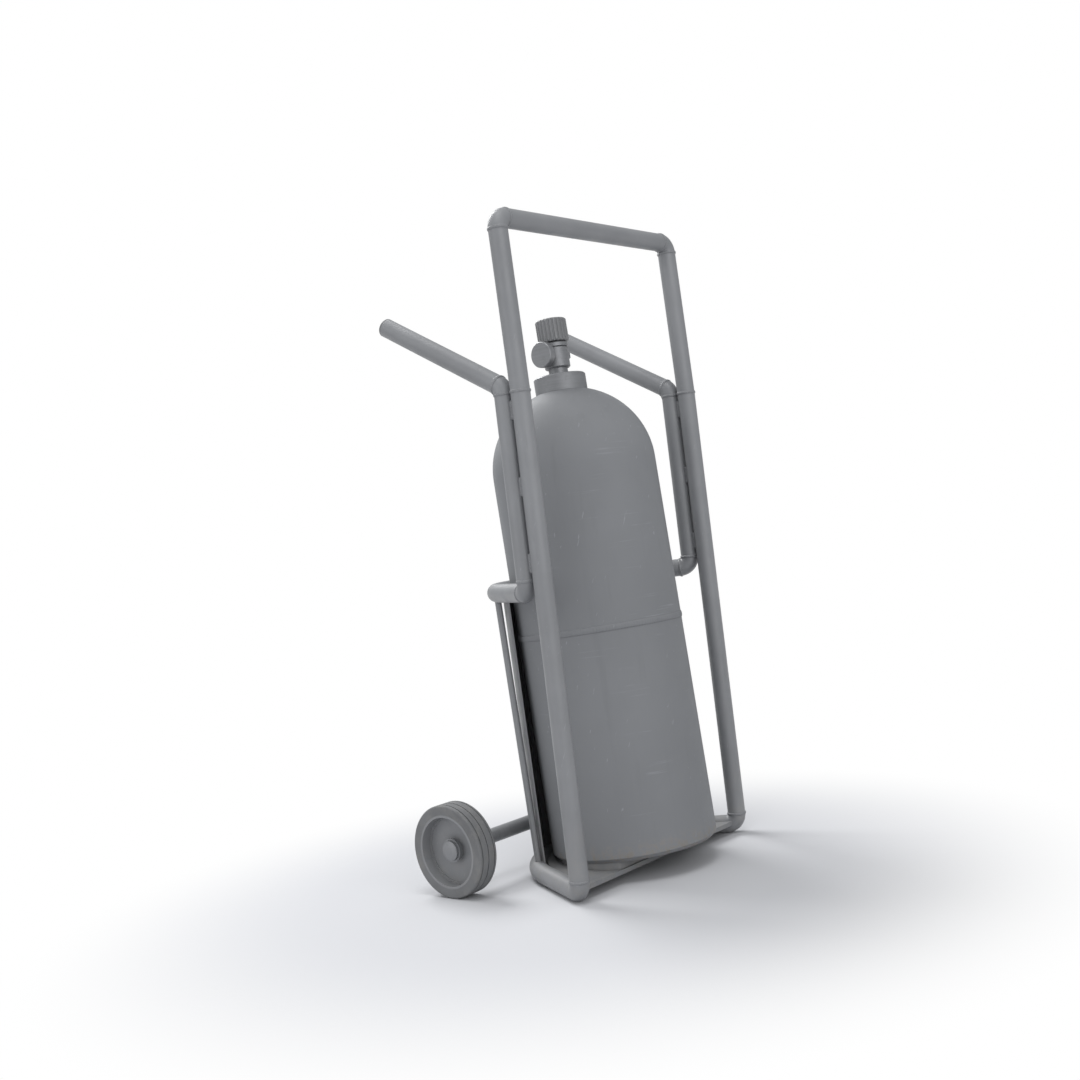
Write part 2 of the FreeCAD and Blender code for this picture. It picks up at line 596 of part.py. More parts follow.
def make_handles():
    """Each handle: a run welded behind the upright, an elbow, and an arm to the back."""
    for word, side in SIDES:
        x = signed(side, "Worked.HalfWidth")
        run = pipe("handle_run_" + word, "Size.BendHeight - Worked.RunBottom")
        keep(place(run, x=x, y="Size.HandleOffset", z="Worked.RunBottom"))
        corner = elbow("handle_elbow_" + word, "Worked.ArmTurn", UP, BACK)
        keep(place(corner, x=x, y="Size.HandleOffset", z="Size.BendHeight"))
        arm = pipe("handle_arm_" + word, "Size.ArmLength")
        keep(place(arm, x=x, y="Worked.ArmStartY", z="Worked.ArmStartZ",
                   about=ABOUT_X, angle="-Worked.ArmTurn"))
        head = rod("end_plug_head_" + word, "Worked.TubeRadius", "Size.EndPlugHead",
                   z="Size.ArmLength")
        shank = rod("end_plug_shank_" + word, "Worked.TubeBore", "Size.EndPlugDepth",
                    z="Size.ArmLength - Size.EndPlugDepth")
        plug = fuse("end_plug_" + word, [head, shank])
        keep(place(plug, x=x, y="Worked.ArmStartY", z="Worked.ArmStartZ",
                   about=ABOUT_X, angle="-Worked.ArmTurn"))


def make_handle_stitches():
    """Three short welds a side, between each upright and the run behind it."""
    first = "Worked.RunBottom + Size.StitchInset - Size.StitchLength / 2"
    last = "Size.BendHeight - Size.StitchInset - Size.StitchLength / 2"
    middle = "((%s) + (%s)) / 2" % (first, last)
    stitches = []
    tubes = []
    for word, side in SIDES:
        x = signed(side, "Worked.HalfWidth")
        for spot, height in (("low", first), ("mid", middle), ("high", last)):
            stitches.append(block("stitch_%s_%s" % (spot, word), "Size.StitchWidth",
                                  "Size.HandleOffset", "Size.StitchLength", x=x, z=height))
        for y in ("0", "Size.HandleOffset"):
            tubes.append(rod("stitch_tube_" + word, "Worked.TubeRadius", "Size.BendHeight", x=x, y=y))
    keep(cut("handle_stitches", fuse("stitch_blocks", stitches), fuse("stitch_tubes", tubes)))


def make_upper_hoop():
    make_hoop("upper_hoop", "Worked.UpperReach", "Worked.UpperArc", "Size.UpperYaw",
              "Size.HandleOffset", "Size.UpperHeight")
    for word, side in SIDES:
        corner = elbow("hoop_elbow_" + word, "90", DOWN, BACK)
        keep(place(corner, x=signed(side, "Worked.HalfWidth"), y="Size.HandleOffset",
                   z="Worked.RunBottom", about=ABOUT_Z, angle=signed(side, "Size.UpperYaw")))


def hoop_ring(name, arc, centre, height):
    """The whole ring that a hoop's arc lies on, for coping what meets the hoop."""
    ring = doc.addObject("Part::Torus", name)
    bind(ring, Radius1=arc, Radius2="Worked.TubeRadius")
    return place(ring, y=centre, z=height)


def strut_rod(name, side):
    lean = dict(about=ABOUT_X, angle="-Worked.StrutLean")
    length = "sqrt(Worked.StrutRise ^ 2 + Worked.StrutRun ^ 2)"
    return rod(name, "Size.StrutDia / 2", length, x=signed(side, "Worked.StrutX"),
               y="Worked.StrutFoot", z="Worked.HoopAxis", **lean)


def make_struts_and_panel():
    """Two struts between the hoops, and the sheet panel behind the cylinder."""
    base_ring = hoop_ring("base_ring", "Worked.BaseArc", "Worked.BaseCentre", "Worked.HoopAxis")
    upper_ring = hoop_ring("upper_ring", "Worked.UpperArc", "Worked.UpperCentre",
                           "Size.UpperHeight")
    hoops = fuse("hoop_rings", [base_ring, upper_ring])
    for word, side in SIDES:
        keep(cut("strut_" + word, strut_rod("strut_rod_" + word, side), hoops))
    # The sheet reaches into both hoops and is cut off at their axes and round their tubes.
    curve = rod("panel_curve", "Worked.PanelRadius", "Worked.PanelLength")
    bind(curve, Angle="2 * Worked.PanelHalfAngle")
    place(curve, z="-Worked.TubeRadius", about=ABOUT_Z, angle="90 - Worked.PanelHalfAngle")
    outer = flat_backed("panel_outer", curve, "Worked.PanelFlat")
    room = rod("panel_room", "Worked.PanelInner", "Worked.PanelLength", z="-Worked.TubeRadius")
    inner = flat_backed("panel_inner", room, "Worked.PanelFlat - Size.PanelSheet")
    wide = ("4 * Worked.HalfWidth", "2 * Worked.UpperReach", "2 * Worked.HoopAxis")
    under = block("under_panel", *wide, z="-Worked.HoopAxis")
    above = block("above_panel", *wide, z="Size.UpperHeight")
    keep(cut("back_panel", outer, fuse("panel_tools", [inner, hoops, under, above])))
    return base_ring, outer


def flat_backed(name, solid, flat):
    """A round block with a flat at the back, leaning as the back panel does."""
    behind = block(name + "_behind", "2 * Worked.PanelRadius", "Worked.PanelRadius",
                   "Worked.PanelLength", y=flat, z="-Worked.TubeRadius")
    return place(cut(name, solid, behind), y="Worked.PanelFoot", z="Worked.HoopAxis",
                 about=ABOUT_X, angle="-Worked.PanelLean")


def make_seat():
    """A wedge on the plate, whose top carries the leaning cylinder's foot."""
    wide = "4 * Size.SeatRadius"
    half = "2 * Size.SeatRadius"
    disc = rod("seat_disc", "Size.SeatRadius", "Worked.FootHeight", y="Size.BottleBack",
               z="Worked.SeatTop")
    above = block("seat_above", wide, wide, wide)
    place(above, x="-2 * Size.SeatRadius",
          y="Size.BottleBack - 2 * Size.SeatRadius * cos(Size.BottleLean)",
          z="Worked.FootHeight + 2 * Size.SeatRadius * sin(Size.BottleLean)",
          about=ABOUT_X, angle="-Size.BottleLean")
    front = block("seat_front", wide, half, wide, y="Size.SeatSetback - 2 * Size.SeatRadius")
    keep(cut("seat_wedge", disc, fuse("seat_tools", [above, front])))


def ring_on_axle(name, radius, thick, inner_face):
    """A ring on the axle, one a side, whose inboard face is at inner_face."""
    rings = []
    for word, side in SIDES:
        face = inner_face if side > 0 else "-(%s) - (%s)" % (inner_face, thick)
        at = dict(turn=ALONG_X, x=face, y="Worked.AxleY", z="Worked.WheelRadius")
        outside = rod("%s_%s_outside" % (name, word), radius, thick, **at)
        bore = rod("%s_%s_bore" % (name, word), "Size.AxleDia / 2", thick, **at)
        rings.append(cut("%s_%s" % (name, word), outside, bore))
    return rings


def make_axle(base_ring, panel):
    """The axle on two brackets, which are cut to fit the base hoop and the panel's back."""
    bar = rod("axle", "Size.AxleDia / 2", "2 * Worked.AxleHalf", turn=ALONG_X,
              x="-Worked.AxleHalf", y="Worked.AxleY", z="Worked.WheelRadius")
    keep(bar)
    for word, side in SIDES:
        web = block("bracket_web_" + word, "Size.BracketThick", "Size.BracketWidth",
                    "Worked.BracketReach", y="-Size.BracketWidth / 2")
        eye = rod("bracket_eye_" + word, "Size.BracketEye / 2", "Size.BracketThick", turn=ALONG_X,
                  x="-Size.BracketThick / 2", z="Worked.BracketReach")
        raw = fuse("bracket_raw_" + word, [web, eye])
        place(raw, x=signed(side, "Worked.BracketX"), y="Worked.BracketFoot", z="Worked.HoopAxis",
              about=ABOUT_X, angle="-Worked.BracketLean")
        tools = fuse("bracket_tools_" + word, [base_ring, bar, panel])
        keep(cut("axle_bracket_" + word, raw, tools))
    inner = "Worked.HubInner - Size.SideClearance - Size.WasherThick"
    outer = "Worked.HubOuter + Size.SideClearance"
    washers = ring_on_axle("washer_inner", "Size.WasherDia / 2", "Size.WasherThick", inner)
    washers += ring_on_axle("washer_outer", "Size.WasherDia / 2", "Size.WasherThick", outer)
    keep(group("axle_washers", washers))
    collars = ring_on_axle("collar", "Size.CollarDia / 2", "Size.CollarWidth",
                           inner + " - Size.CollarWidth")
    keep(group("axle_collars", collars))
    axle_radius = "Size.AxleDia / 2"
    cap_radius = "Size.HubCapDia / 2"
    crown = "((%s) ^ 2 + Size.HubCapDome ^ 2) / (2 * Size.HubCapDome)" % cap_radius
    for word, side in SIDES:
        cap = turned("hub_cap_" + word, (
            (axle_radius, "0"),
            (cap_radius, "0"),
            (cap_radius, "Size.HubCapSkirt", crown, 1),
            ("0", "Size.HubCapSkirt + Size.HubCapDome"),
            ("0", "Size.HubCapSkirt"),
            (axle_radius, "Size.HubCapSkirt"),
        ))
        keep(on_axle(cap, side, "Worked.CapFace"))


def on_axle(item, side, face):
    """Turn a piece's own +Z outwards along the axle, starting at face."""
    return place(item, x=signed(side, face), y="Worked.AxleY", z="Worked.WheelRadius",
                 about=ABOUT_Y, angle="%d * 90" % side)


def tyre_outline():
    """Flat side walls, rounded shoulders, and a tread with three thin grooves."""
    bead_radius = "Size.RimDia / 2"
    low = "Size.HubStand"
    high = "Size.HubStand + Size.TyreWidth"
    tread = "Worked.WheelRadius"
    floor = "Worked.WheelRadius - Size.TreadGroove"
    points = [
        (bead_radius, low),
        ("Worked.WheelRadius - Size.TyreShoulder", low, "Size.TyreShoulder", 1),
        (tread, low + " + Size.TyreShoulder"),
    ]
    middle = "Size.TyreWidth / 2"
    for start in ("Size.TreadEdge", middle, "Size.TyreWidth - Size.TreadEdge"):
        below = "%s + %s - Size.TreadGroove / 2" % (low, start)
        above = "%s + %s + Size.TreadGroove / 2" % (low, start)
        points += [(tread, below), (floor, below), (floor, above), (tread, above)]
    points += [
        (tread, high + " - Size.TyreShoulder", "Size.TyreShoulder", 1),
        ("Worked.WheelRadius - Size.TyreShoulder", high),
        (bead_radius, high),
    ]
    return points


def rim_outline():
    """A deep ring, a step, a dished disc and the hub tube, in one turned piece."""
    outside = "Size.RimDia / 2"
    inside = "Size.RimDia / 2 - Size.RimWall"
    step = inside + " - Size.RimStep"
    hub = "Size.HubDia / 2"
    bore = "Size.AxleDia / 2 + Size.RunningClearance + Size.BushWall"
    low = "Size.HubStand"
    high = "Size.HubStand + Size.TyreWidth"
    return [
        (bore, "0"),
        (hub, "0"),
        (hub, "Worked.DiscFace - Size.DiscDish - Size.DiscThick"),
        (step, "Worked.DiscFace - Size.DiscThick"),
        (inside, "Worked.DiscFace - Size.DiscThick"),
        (inside, low),
        (outside, low),
        (outside, high),
        (inside, high),
        (inside, "Worked.DiscFace + Size.RimStep / 2"),
        (step, "Worked.DiscFace + Size.RimStep / 2"),
        (step, "Worked.DiscFace"),
        (hub, "Worked.DiscFace - Size.DiscDish"),
        (hub, "Size.HubLength"),
        (bore, "Size.HubLength"),
    ]


def make_wheels():
    bush_bore = "Size.AxleDia / 2 + Size.RunningClearance"
    for word, side in SIDES:
        keep(on_axle(turned("tyre_" + word, tyre_outline()), side, "Worked.HubInner"))
        keep(on_axle(turned("wheel_rim_" + word, rim_outline()), side, "Worked.HubInner"))
        bush = turned("wheel_bush_" + word, (
            (bush_bore, "0"),
            (bush_bore + " + Size.BushWall", "0"),
            (bush_bore + " + Size.BushWall", "Size.HubLength"),
            (bush_bore, "Size.HubLength"),
        ))
        keep(on_axle(bush, side, "Worked.HubInner"))


def make_weld_beads():
    """The beads round the frame's tube joints, all but those ground flush by the floor."""
    beads = []
    along_y = Rotation(Vector(1, 0, 0), -90)
    short = "(Size.TopBarRise - Size.ElbowBend)"
    for word, side in SIDES:
        x = signed(side, "Worked.HalfWidth")
        upright = bead("bead_upright_" + word, above=True)
        beads.append(place(upright, x=x, z="Worked.BaseTop"))
        kink = bead("bead_kink_" + word, above=False)
        beads.append(place(kink, x=x, z="Size.BendHeight"))
        top = bead("bead_top_" + word, above=False)
        beads.append(place(top, x=x, y=short + " * sin(Size.LeanBack)",
                           z="Size.BendHeight + %s * cos(Size.LeanBack)" % short,
                           about=ABOUT_X, angle="-Size.LeanBack"))
        bar = bead("bead_bar_" + word, above=side < 0)
        beads.append(place(bar, x=signed(side, "Worked.TopBarHalf"),
                           y="Size.TopBarRise * sin(Size.LeanBack)",
                           z="Size.BendHeight + Size.TopBarRise * cos(Size.LeanBack)",
                           about=ABOUT_Y, angle="90"))
        for spot, height in (("low", "Worked.RunBottom"), ("high", "Size.BendHeight")):
            run = bead("bead_run_%s_%s" % (spot, word), above=spot == "low")
            beads.append(place(run, x=x, y="Size.HandleOffset", z=height))
        beads.append(place(arm_bead(word), x=x, y="Size.HandleOffset", z="Size.BendHeight"))
        leg = bead("bead_hoop_" + word, above=True, turn=along_y, back="-2 * Size.BeadSize", down="0")
        beads.append(place(leg,
                           x=signed(side, "Worked.HalfWidth - Size.ElbowBend * sin(Size.UpperYaw)"),
                           y="Size.HandleOffset + Size.ElbowBend * cos(Size.UpperYaw)",
                           z="Size.UpperHeight", about=ABOUT_Z, angle=signed(side, "Size.UpperYaw")))
    keep(group("weld_beads", beads))


def stand(item, height="0"):
    """Stand a piece on the cylinder's leaning axis, height above the foot."""
    return place(item, y="Size.BottleBack + (%s) * sin(Size.BottleLean)" % height,
                 z="Worked.FootHeight + (%s) * cos(Size.BottleLean)" % height,
                 about=ABOUT_X, angle="-Size.BottleLean")


def make_shell():
    """Two drawn halves with a weld round the girth, and the porous mass inside."""
    corner = "Worked.BottleRadius - Size.FootEdge - Worked.FootCorner"
    keep(stand(turned("lower_shell", (
        ("0", "Size.FootDish", "Worked.DishRadius", -1),
        ("Size.FootInner", "0"),
        ("Worked.BottleRadius - Size.FootEdge", "0"),
        ("Worked.BottleRadius", "Size.FootEdge"),
        ("Worked.BottleRadius", "Size.GirthHeight"),
        ("Worked.BottleInner", "Size.GirthHeight"),
        ("Worked.BottleInner", "Size.FootEdge + Worked.FootCorner"),
        (corner, "Size.BottleWall"),
        ("Size.FootInner", "Size.BottleWall", "Worked.DishRadius", 1),
        ("0", "Size.FootDish + Size.BottleWall"),
    ))))
    keep(stand(turned("upper_shell", (
        ("Worked.BottleRadius", "Size.GirthHeight"),
        ("Worked.BottleRadius", "Size.ShoulderHeight", "Worked.BottleRadius", 1),
        ("Worked.NeckRadius", "Worked.NeckOutside"),
        ("Worked.NeckRadius", "Worked.NeckOpening", "Worked.BottleInner", -1),
        ("Worked.BottleInner", "Size.ShoulderHeight"),
        ("Worked.BottleInner", "Size.GirthHeight"),
    ))))
    half = "Size.GirthWidth / 2"
    crown = "(Size.GirthWidth ^ 2 / 4 + Size.GirthProud ^ 2) / (2 * Size.GirthProud)"
    keep(stand(turned("girth_weld", (
        ("Worked.BottleRadius", "Size.GirthHeight - " + half, crown, 1),
        ("Worked.BottleRadius", "Size.GirthHeight + " + half),
    ))))
    floor = "Size.BottleWall + Size.FillGap"
    keep(stand(turned("porous_filler", (
        ("0", "Size.FootDish + " + floor, "Worked.DishRadius", -1),
        ("Size.FootInner", floor),
        (corner + " - Size.FillGap", floor),
        ("Worked.FillerRadius", "Size.FootEdge + Worked.FootCorner + Size.FillGap"),
        ("Worked.FillerRadius", "Size.ShoulderHeight", "Worked.FillerRadius", 1),
        ("Worked.FillerFlat", "Worked.FillerTop"),
        ("0", "Worked.FillerTop"),
    ))))


def make_neck():
    tail = "Size.TailDia / 2"
    low = "Worked.NeckOpening - Size.NeckDepth"
    keep(stand(turned("neck_boss", (
        (tail, low),
        ("Worked.NeckRadius", low),
        ("Worked.NeckRadius", "Worked.NeckTop"),
        (tail, "Worked.NeckTop"),
    ))))
    keep(stand(turned("neck_ring", (
        ("Worked.NeckRadius", "Worked.NeckOutside", "Worked.BottleRadius", -1),
        ("Worked.CollarRadius", "Worked.CollarSeat"),
        ("Worked.CollarRadius", "Worked.CollarRingTop - Size.CollarRingEdge"),
        ("Worked.CollarRadius - Size.CollarRingEdge", "Worked.CollarRingTop"),
        ("Worked.NeckRadius", "Worked.CollarRingTop"),
    ))))


def make_valve():
    """The valve body, with its gland and fusible plug."""
    radius = "Size.ValveDia / 2"
    tail = "Size.TailDia / 2"
    stem = "Size.StemDia / 2"
    inlet = "Size.InletDia / 2"
    tail_low = "Worked.NeckTop - Size.TailDepth"
    main = turned("valve_main", (
        (inlet, tail_low),
        (tail, tail_low),
        (tail, "Worked.NeckTop"),
        (stem, "Worked.NeckTop"),
        (stem, "Worked.ValveBottom"),
        (radius + " - Size.ValveEdge", "Worked.ValveBottom"),
        (radius, "Worked.ValveBottom + Size.ValveEdge"),
        (radius, "Worked.ValveTop - Size.ValveEdge"),
        (radius + " - Size.ValveEdge", "Worked.ValveTop"),
        ("Worked.ChamberRadius", "Worked.ValveTop"),
        ("Worked.ChamberRadius", "Worked.SeatHeight"),
        (inlet, "Worked.SeatHeight"),
    ))
    wall = "(Size.ValveDia + Size.ChamberDia) / 4"
    nipple = rod("nipple", "Size.OutletDia / 2", "Worked.OutletReach - " + wall, turn=ALONG_LEFT,
                 x="-" + wall, z="Worked.OutletHeight")
    gas_way = rod("outlet_way", "Size.OutletBore / 2", "Worked.OutletReach", turn=ALONG_LEFT,
                  z="Worked.OutletHeight")
    plug_hole = rod("relief_hole", "Size.ReliefDia / 2", "Size.ValveDia", turn=ALONG_X,
                    x="Size.ValveDia / 2 - Size.ReliefDepth", z="Worked.OutletHeight")
    body = cut("valve_body", fuse("valve_raw", [main, nipple]),
               fuse("valve_ways", [gas_way, plug_hole]))
    keep(stand(body))
    shank = rod("relief_shank", "Size.ReliefDia / 2", "Size.ReliefDepth", turn=ALONG_X,
                x="Size.ValveDia / 2 - Size.ReliefDepth", z="Worked.OutletHeight")
    head = hexagon("relief_head", "Size.ReliefHex / 2", "Size.ReliefHead")
    place(head, x="Size.ValveDia / 2", z="Worked.OutletHeight")
    head.Placement = Placement(head.Placement.Base, ALONG_X)
    keep(stand(fuse("fusible_plug", [shank, head])))
    bore = "Worked.SpindleRadius + Size.RunningClearance"
    hub = "Worked.ChamberRadius - Size.MeshClearance"
    gland = "Size.GlandDia / 2"
    packing = "Size.PackingDia / 2"
    packing_top = "Worked.GlandBottom + Size.PackingHeight"
    keep(stand(turned("gland_nut", (
        (packing, "Worked.GlandBottom"),
        (hub, "Worked.GlandBottom"),
        (hub, "Worked.ValveTop"),
        (gland, "Worked.ValveTop"),
        (gland, "Worked.GlandTop - Size.ValveEdge"),
        (gland + " - Size.ValveEdge", "Worked.GlandTop"),
        (bore, "Worked.GlandTop"),
        (bore, packing_top),
        (packing, packing_top),
    ))))
    keep(stand(turned("gland_packing", (
        (bore, "Worked.GlandBottom"),
        (packing, "Worked.GlandBottom"),
        (packing, packing_top),
        (bore, packing_top),
    ))))


def hexagon(name, radius, height):
    item = doc.addObject("Part::Prism", name)
    item.Polygon = 6
    bind(item, Circumradius=radius, Height=height)
    return item


def make_handwheel():
    """The ribbed handwheel with its spindle and nut, and the plug that it drives."""
    round_part = turned("spindle_round", (
        ("0", "Worked.FlangeBottom"),
        ("Size.FlangeDia / 2", "Worked.FlangeBottom"),
        ("Size.FlangeDia / 2", "Worked.FlangeBottom + Size.FlangeThick"),
        ("Worked.SpindleRadius", "Worked.FlangeBottom + Size.FlangeThick"),
        ("Worked.SpindleRadius", "Worked.RecessFloor"),
        ("Size.StudDia / 2", "Worked.RecessFloor"),
        ("Size.StudDia / 2", "Worked.StudTop"),
        ("0", "Worked.StudTop"),
    ))
    tang = block("spindle_tang", "Size.TangWidth", "Size.TangWidth",
                 "Worked.FlangeBottom - Worked.TangBottom",
                 y="-Size.TangWidth / 2", z="Worked.TangBottom")
    keep(stand(fuse("valve_spindle", [round_part, tang])))

    radius = "Worked.KnobRadius"
    recess = "Size.KnobRecess / 2"
    recess_low = "Size.KnobHeight - Size.KnobRecessDepth"
    knob = turned("handwheel", (
        ("Worked.SpindleRadius", "0"),
        (radius + " - Size.KnobEdge", "0"),
        (radius, "Size.KnobEdge"),
        (radius, "Size.KnobHeight - Size.KnobEdge"),
        (radius + " - Size.KnobEdge", "Size.KnobHeight"),
        (recess, "Size.KnobHeight"),
        (recess, recess_low),
        ("Worked.SpindleRadius", recess_low),
    ))
    doc.recompute()
    smooth = knob.Shape.Volume
    groove = sketch_on(knob, "knob_groove_outline", "XY_Plane")
    circle = Part.Circle(Vector(number(radius), 0, 0), UP, number("Size.KnobGroove"))
    geometry = groove.addGeometry(circle)
    hold(groove, "DistanceX", geometry, 3, radius)
    hold(groove, "DistanceY", geometry, 3, "0")
    row = groove.addConstraint(Sketcher.Constraint("Radius", geometry, number("Size.KnobGroove")))
    groove.setExpression("Constraints[%d]" % row, "Size.KnobGroove")
    pocket = knob.newObject("PartDesign::Pocket", "knob_groove")
    pocket.Profile = groove
    pocket.Type = "ThroughAll"
    pocket.Reversed = True
    doc.recompute()
    ring = knob.newObject("PartDesign::PolarPattern", "knob_grooves")
    ring.Originals = [pocket]
    ring.Axis = (groove, ["N_Axis"])
    ring.Angle = 360
    ring.setExpression("Occurrences", "Size.KnobRibs")
    groove.Visibility = False
    knob.Tip = ring
    keep(stand(knob, "Worked.KnobBottom"))
    doc.recompute()
    if knob.Shape.Volume >= smooth:
        raise RuntimeError("the handwheel's grooves cut nothing")

    nut = cut("handwheel_nut", hexagon("nut_hexagon", "Size.NutCorners / 2", "Size.NutHeight"),
              rod("nut_bore", "Size.StudDia / 2", "Size.NutHeight"))
    keep(stand(nut, "Worked.RecessFloor"))

    nose = rod("plug_nose", "Size.PlugNose / 2", "Size.PlugNoseHeight")
    main = rod("plug_main", "Worked.ChamberRadius - Size.MeshClearance",
               "Size.PlugHeight - Size.PlugNoseHeight", z="Size.PlugNoseHeight")
    slot_wide = "Size.TangWidth + 2 * Size.MeshClearance"
    slot = block("plug_slot", slot_wide, slot_wide, "Size.PlugHeight",
                 y="-(%s) / 2" % slot_wide, z="Size.PlugNoseHeight")
    plug = cut("valve_plug", fuse("plug_raw", [nose, main]), slot)
    keep(stand(plug, "Worked.PlugBottom"))


def beside_valve(item, face):
    """Turn a piece's own +Z towards the side outlet, starting at face from the axis."""
    return place(item, x="-(%s)" % face,
                 y="Size.BottleBack + Worked.OutletHeight * sin(Size.BottleLean)",
                 z="Worked.FootHeight + Worked.OutletHeight * cos(Size.BottleLean)",
                 about=ABOUT_Y, angle="-90")


def make_outlet_cap():
    bore = "Size.OutletDia / 2 + Size.MeshClearance"
    radius = "Size.CapDia / 2"
    floor = "Worked.CapFloor - Worked.CapInner"
    cap = turned("outlet_cap", (
        (bore, "0"),
        (radius + " - Size.CapEdge", "0"),
        (radius, "Size.CapEdge"),
        (radius, "Size.CapLength - Size.CapEdge"),
        (radius + " - Size.CapEdge", "Size.CapLength"),
        ("0", "Size.CapLength"),
        ("0", floor),
        (bore, floor),
    ))
    keep(beside_valve(cap, "Worked.CapInner"))
    gasket = turned("cap_gasket", (
        ("Size.OutletBore / 2", "0"),
        ("Size.OutletDia / 2", "0"),
        ("Size.OutletDia / 2", "Size.GasketThick"),
        ("Size.OutletBore / 2", "Size.GasketThick"),
    ))
    keep(beside_valve(gasket, "Worked.OutletReach + Size.MeshClearance"))


def write_nodes():
    """Check every object, then write one STEP file for each node."""
    doc.recompute()
    bad = [item.Name for item in doc.Objects if {"Invalid", "Error"} & set(item.State)]
    if bad:
        raise RuntimeError("failed objects: %s" % bad)
    os.makedirs("parts", exist_ok=True)
    for item in nodes:
        shape = item.Shape
        if shape.isNull() or not shape.isValid() or not shape.Solids:
            raise RuntimeError("%s has no valid solid" % item.Label)
        shape.exportStep(os.path.join("parts", item.Label + ".step"))
        print("%-22s solids %2d  volume %10.0f" % (item.Label, len(shape.Solids), shape.Volume))


make_uprights()
make_base()
make_top()
make_handles()
make_handle_stitches()
make_upper_hoop()
make_axle(*make_struts_and_panel())
make_seat()
make_wheels()
make_weld_beads()
make_shell()
make_neck()
make_valve()
make_handwheel()
make_outlet_cap()
write_nodes()
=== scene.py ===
import json
import math
import random

import bpy
from mathutils import Matrix, Vector


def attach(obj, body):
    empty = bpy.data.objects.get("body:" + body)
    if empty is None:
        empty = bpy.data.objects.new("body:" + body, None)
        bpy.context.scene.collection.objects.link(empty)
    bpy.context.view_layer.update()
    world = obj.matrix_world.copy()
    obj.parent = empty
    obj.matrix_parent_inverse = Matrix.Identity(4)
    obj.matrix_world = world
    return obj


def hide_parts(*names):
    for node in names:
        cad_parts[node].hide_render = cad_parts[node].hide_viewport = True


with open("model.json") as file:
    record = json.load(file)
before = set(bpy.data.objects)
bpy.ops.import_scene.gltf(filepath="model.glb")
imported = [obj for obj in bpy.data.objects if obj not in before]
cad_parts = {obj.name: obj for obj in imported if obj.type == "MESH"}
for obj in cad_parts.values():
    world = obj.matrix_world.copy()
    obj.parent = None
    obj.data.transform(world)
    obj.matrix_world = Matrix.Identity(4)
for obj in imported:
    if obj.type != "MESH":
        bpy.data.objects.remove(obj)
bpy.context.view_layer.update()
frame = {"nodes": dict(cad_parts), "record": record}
scene = bpy.context.scene

# Sizes and places on the cart, in metres, as the solids have them.
TUBE = 0.0127
HALF_WIDTH = 0.1825
ELBOW = 0.015
BEND_HEIGHT = 0.646
LEAN_BACK = math.radians(1.3)
TOP_RISE = 0.2214
BASE_TOP = 0.0277
HANDLE_Y = 0.028
RUN_BOTTOM = 0.408
ARM_TURN = math.radians(59.8)
UPPER_Z = 0.393
UPPER_YAW = math.radians(29.0)
WHEEL_AXIS = Vector((0.0, 0.19054, 0.062))
FOOT = Vector((0.0, 0.0496, 0.02683))
BOTTLE_LEAN = math.radians(3.04)
BOTTLE_UP = Vector((0.0, math.sin(BOTTLE_LEAN), math.cos(BOTTLE_LEAN)))
BOTTLE_RADIUS = 0.1139
GIRTH = 0.303
UP = Vector((0, 0, 1))
SIDES = (-1, 1)


# Materials. Each helper adds nodes to one tree and returns the socket that the next one reads.
# Noise scales count waves in a metre. Ramp limits are values of a noise, or metres for a
# height. Bump distances and edge widths are in metres.

